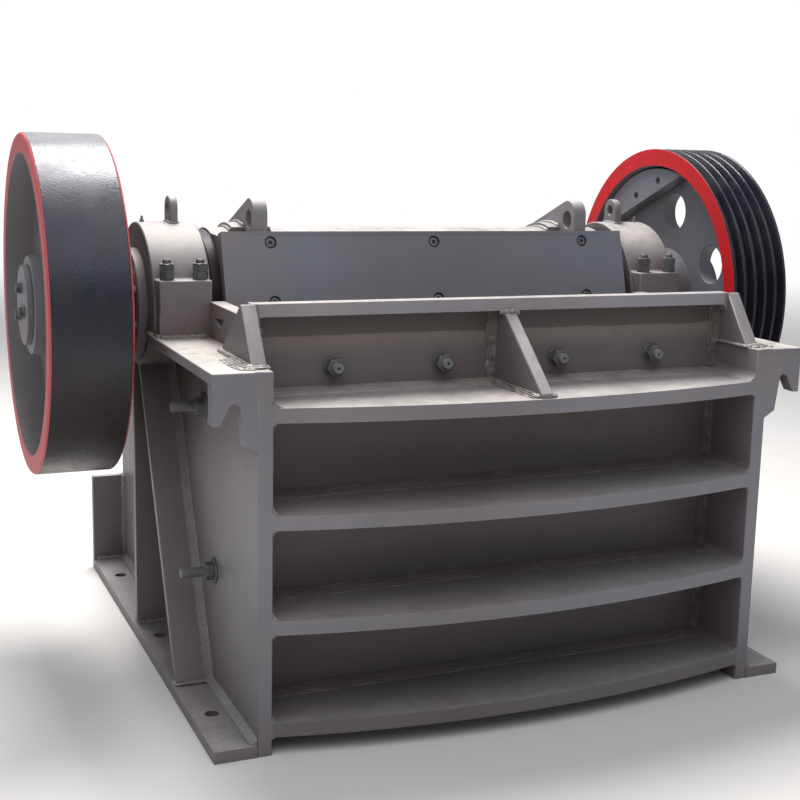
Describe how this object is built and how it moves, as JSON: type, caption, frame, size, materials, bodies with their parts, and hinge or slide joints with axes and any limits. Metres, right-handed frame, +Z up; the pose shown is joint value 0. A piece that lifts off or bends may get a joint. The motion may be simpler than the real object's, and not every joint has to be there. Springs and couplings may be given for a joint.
{
  "type": "single-toggle jaw crusher with a wide fine-crushing mouth",
  "caption": "Jaw crusher: welded ribbed steel box with a toothed fixed jaw, swinging jaw on a wheel-driven shaft, flywheel and V-belt pulley.",
  "frame": {"origin": "centre of the foundation bolt pattern, on the underside of the feet", "axes": "+X from the flywheel to the grooved pulley along the shaft, +Y from the ribbed front to the rear, +Z up"},
  "size_m": [2.179, 1.649, 1.435],
  "materials": {
    "frame_paint": "satin grey machine paint",
    "wheel_paint": "gloss black paint with red rim edges",
    "wear_steel": "cast manganese steel, dull",
    "bolt_steel": "painted over and lightly worn",
    "shaft_steel": "turned and greased",
    "seal_ring": "dark, greasy",
    "dark_steel": "dark primer"
  },
  "bodies": {
    "frame": {"side_plate_left": "frame_paint", "side_plate_right": "frame_paint", "foot_plate_left": "frame_paint", "foot_plate_right": "frame_paint", "deck_flanges": "frame_paint", "lifting_hooks": "frame_paint", "side_ribs_left": "frame_paint", "side_ribs_right": "frame_paint", "front_wall": "frame_paint", "front_rib_1": "frame_paint", "front_rib_2": "frame_paint", "front_rib_3": "frame_paint", "front_rib_4": "frame_paint", "front_top_rib": "frame_paint", "front_centre_rib": "frame_paint", "rear_wall": "frame_paint", "rear_ribs": "frame_paint", "toggle_shelf": "frame_paint", "adjusting_block": "dark_steel", "shim_pack": "dark_steel", "toggle_plate": "dark_steel", "fixed_jaw_plate": "wear_steel", "cheek_plate_left": "frame_paint", "cheek_plate_right": "frame_paint", "jaw_bolts": "bolt_steel", "cheek_bolts": "bolt_steel", "bearing_block_left": "frame_paint", "bearing_block_right": "frame_paint", "bearing_cap_left": "frame_paint", "bearing_cap_right": "frame_paint", "cap_studs": "bolt_steel", "bearing_covers": "frame_paint", "cap_eyes": "frame_paint"},
    "rotor": {"eccentric_shaft": "shaft_steel", "flywheel": "wheel_paint", "flywheel_disc": "frame_paint", "flywheel_counterweight": "frame_paint", "drive_pulley": "wheel_paint", "pulley_disc": "frame_paint", "pulley_counterweight": "frame_paint"},
    "pitman": {"pitman": "frame_paint", "pitman_cover": "frame_paint", "cover_screws": "bolt_steel", "pitman_lugs": "frame_paint", "swing_jaw_plate": "wear_steel", "pitman_seals": "seal_ring", "tension_rod": "dark_steel", "tension_spring": "dark_steel"}
  },
  "joints": [
    {"name": "shaft_spin", "type": "hinge", "parent": "frame", "child": "rotor", "pos_m": [0, 0.032, 0.984], "axis": [1, 0, 0], "continuous": true},
    {"name": "jaw_swing", "type": "hinge", "parent": "frame", "child": "pitman", "pos_m": [0, 0.032, 0.984], "axis": [1, 0, 0], "range_deg": [-0.6, 0.6]}
  ]
}
